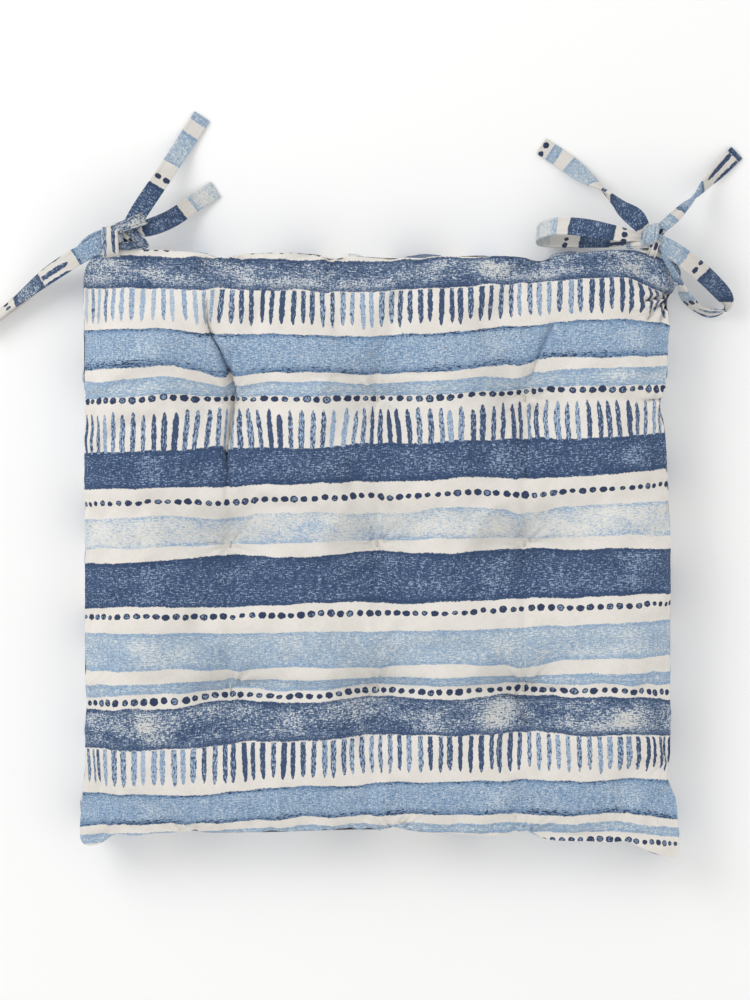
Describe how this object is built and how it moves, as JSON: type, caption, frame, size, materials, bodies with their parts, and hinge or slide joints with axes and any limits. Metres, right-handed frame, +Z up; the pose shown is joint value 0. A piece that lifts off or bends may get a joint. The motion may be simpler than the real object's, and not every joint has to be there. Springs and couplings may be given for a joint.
{
  "type": "chair seat pad",
  "caption": "Square tufted cotton seat pad with a boxed edge, a soft filling and a pair of knotted tapes at each rear corner.",
  "frame": {"origin": "middle of the pad's underside, tapes left out", "axes": "+Z up, +Y towards the rear edge with the tapes, +X to the sitter's right as seen from the front with the rear edge away"},
  "size_m": [0.5184, 0.4864, 0.0533],
  "materials": {
    "print_cotton": "plain-weave cotton printed with painterly navy, mid blue and pale blue stripes on cream",
    "underside_cotton": "the same printed cotton on the underside",
    "boxing_cotton": "the same printed cotton, cut crosswise for the boxed edge",
    "tape_cotton": "the same printed cotton, folded and edge-stitched into flat tapes",
    "polyester_filling": "white polyester wadding",
    "tufting_thread": "twisted off-white thread"
  },
  "bodies": {
    "pad": {"top_panel": "print_cotton", "bottom_panel": "underside_cotton", "boxing_front": "boxing_cotton", "boxing_rear": "boxing_cotton", "boxing_left": "boxing_cotton", "boxing_right": "boxing_cotton", "filling": "polyester_filling", "tuft_thread_rear_left": "tufting_thread", "tuft_thread_rear_centre": "tufting_thread", "tuft_thread_rear_right": "tufting_thread", "tuft_thread_middle_left": "tufting_thread", "tuft_thread_middle_centre": "tufting_thread", "tuft_thread_middle_right": "tufting_thread", "tuft_thread_front_left": "tufting_thread", "tuft_thread_front_centre": "tufting_thread", "tuft_thread_front_right": "tufting_thread", "tie_left_root": "tape_cotton", "tie_right_root": "tape_cotton"},
    "left_tie": {"tie_left_knot": "tape_cotton", "tie_left_long_tail": "tape_cotton", "tie_left_short_tail": "tape_cotton", "tie_left_loop": "tape_cotton"},
    "right_tie": {"tie_right_knot": "tape_cotton", "tie_right_inner_tail": "tape_cotton", "tie_right_outer_tail": "tape_cotton", "tie_right_inner_loop": "tape_cotton", "tie_right_outer_loop": "tape_cotton"}
  },
  "joints": [
    {"name": "left_tie_lift", "type": "hinge", "parent": "pad", "child": "left_tie", "pos_m": [-0.169, 0.1996, 0.0385], "axis": [1, 0, 0], "range_deg": [0, 90]},
    {"name": "right_tie_lift", "type": "hinge", "parent": "pad", "child": "right_tie", "pos_m": [0.183, 0.1996, 0.0385], "axis": [1, 0, 0], "range_deg": [0, 90]}
  ]
}
